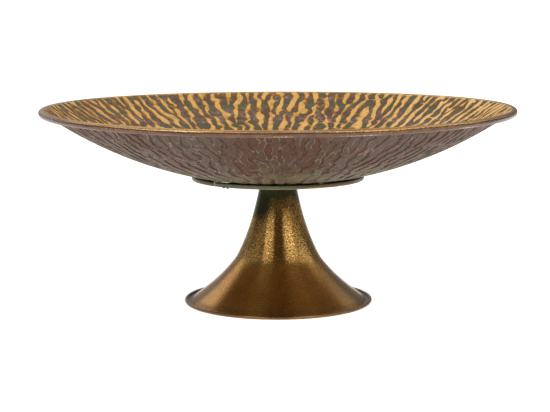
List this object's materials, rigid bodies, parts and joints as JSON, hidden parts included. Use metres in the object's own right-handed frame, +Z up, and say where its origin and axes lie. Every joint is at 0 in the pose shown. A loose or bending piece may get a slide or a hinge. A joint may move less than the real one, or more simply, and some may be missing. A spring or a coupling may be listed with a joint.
{
  "type": "footed centrepiece bowl",
  "caption": "Wide shallow sheet-metal bowl with a rolled, wired rim, carried by a lipped round plate on a flared trumpet pedestal.",
  "frame": {"origin": "centre of the foot's underside, on the table", "axes": "+Z up along the turning axis; the object is round about Z, and +X and +Y lie in the table plane"},
  "size_m": [0.3998, 0.3998, 0.1663],
  "materials": {
    "bowl_patina": "antiqued: gold ridges over blue-green and brown recesses, brown patina outside",
    "aged_brass": "satin, dark speckled antique brass",
    "verdigris_brass": "green-brown patina over satin brass",
    "braze": "rough brown braze, partly greened",
    "rim_iron": "dull drawn iron wire"
  },
  "bodies": {
    "root": {"bowl_shell": "bowl_patina", "rim_wire": "rim_iron", "support_plate": "verdigris_brass", "pedestal": "aged_brass", "neck_weld": "braze", "tack_weld_1": "braze", "tack_weld_2": "braze", "tack_weld_3": "braze", "tack_weld_4": "braze", "tack_weld_5": "braze"}
  },
  "joints": []
}
